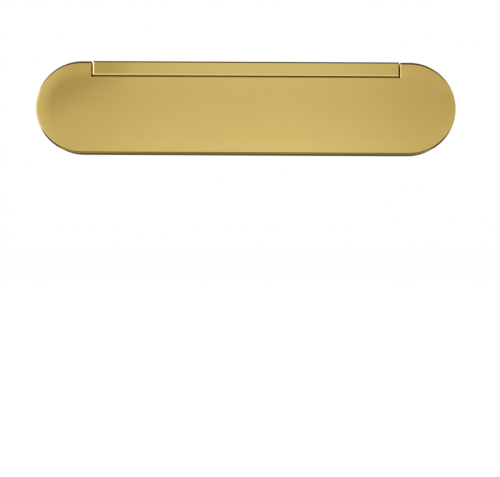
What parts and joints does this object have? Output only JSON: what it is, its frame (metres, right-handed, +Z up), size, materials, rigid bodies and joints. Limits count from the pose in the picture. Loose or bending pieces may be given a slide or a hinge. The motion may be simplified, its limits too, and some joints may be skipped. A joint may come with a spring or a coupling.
{
  "type": "letter plate",
  "caption": "Round-ended polished brass letter plate with a sprung outer flap, a hinge rail along its top and a black draught flap in a sleeve behind the letter aperture.",
  "frame": {"origin": "midway between the two fixing holes, on the face of the door (the plate's back)", "axes": "+X along the plate to the right seen from outside, +Z up, +Y into the door"},
  "size_m": [0.34, 0.043, 0.075],
  "materials": {
    "polished_brass": "mirror polished and lacquered",
    "cast_brass": "as cast",
    "bright_steel": "bright drawn",
    "blackened_steel": "blackened",
    "spring_steel": "drawn wire",
    "nylon": "natural nylon",
    "black_plastic": "satin moulded",
    "rubber": "matt",
    "foam": "closed-cell foam"
  },
  "bodies": {
    "plate": {"back_plate": "polished_brass", "hinge_rail": "polished_brass", "rail_screws": "bright_steel", "frame_screws": "blackened_steel", "hinge_bush_left": "nylon", "hinge_bush_right": "nylon", "draught_frame": "black_plastic", "door_seal": "foam", "lower_lip": "rubber", "lip_clamp_strip": "blackened_steel", "lip_rivets": "blackened_steel", "draught_rod": "bright_steel", "draught_rod_clips": "spring_steel", "outer_spring_left": "spring_steel", "outer_spring_right": "spring_steel", "draught_spring_left": "spring_steel", "draught_spring_right": "spring_steel"},
    "outer_flap": {"outer_flap": "polished_brass", "flap_lug_left": "cast_brass", "flap_lug_right": "cast_brass", "hinge_rod": "bright_steel", "lug_pins": "bright_steel", "flap_buffers": "rubber"},
    "draught_flap": {"draught_flap": "black_plastic", "draught_weight_bar": "blackened_steel"}
  },
  "joints": [
    {"name": "outer_flap_hinge", "type": "hinge", "parent": "plate", "child": "outer_flap", "pos_m": [0, -0.008, 0.0348], "axis": [-1, 0, 0], "range_deg": [0, 74], "stiffness_Nm_per_rad": 0.08, "springref_deg": -34.38, "deforming": ["outer_spring_left", "outer_spring_right"]},
    {"name": "draught_flap_hinge", "type": "hinge", "parent": "plate", "child": "draught_flap", "pos_m": [0, 0.002, 0.0206], "axis": [-1, 0, 0], "range_deg": [-75, 19], "stiffness_Nm_per_rad": 0.012, "deforming": ["draught_spring_left", "draught_spring_right"]}
  ]
}
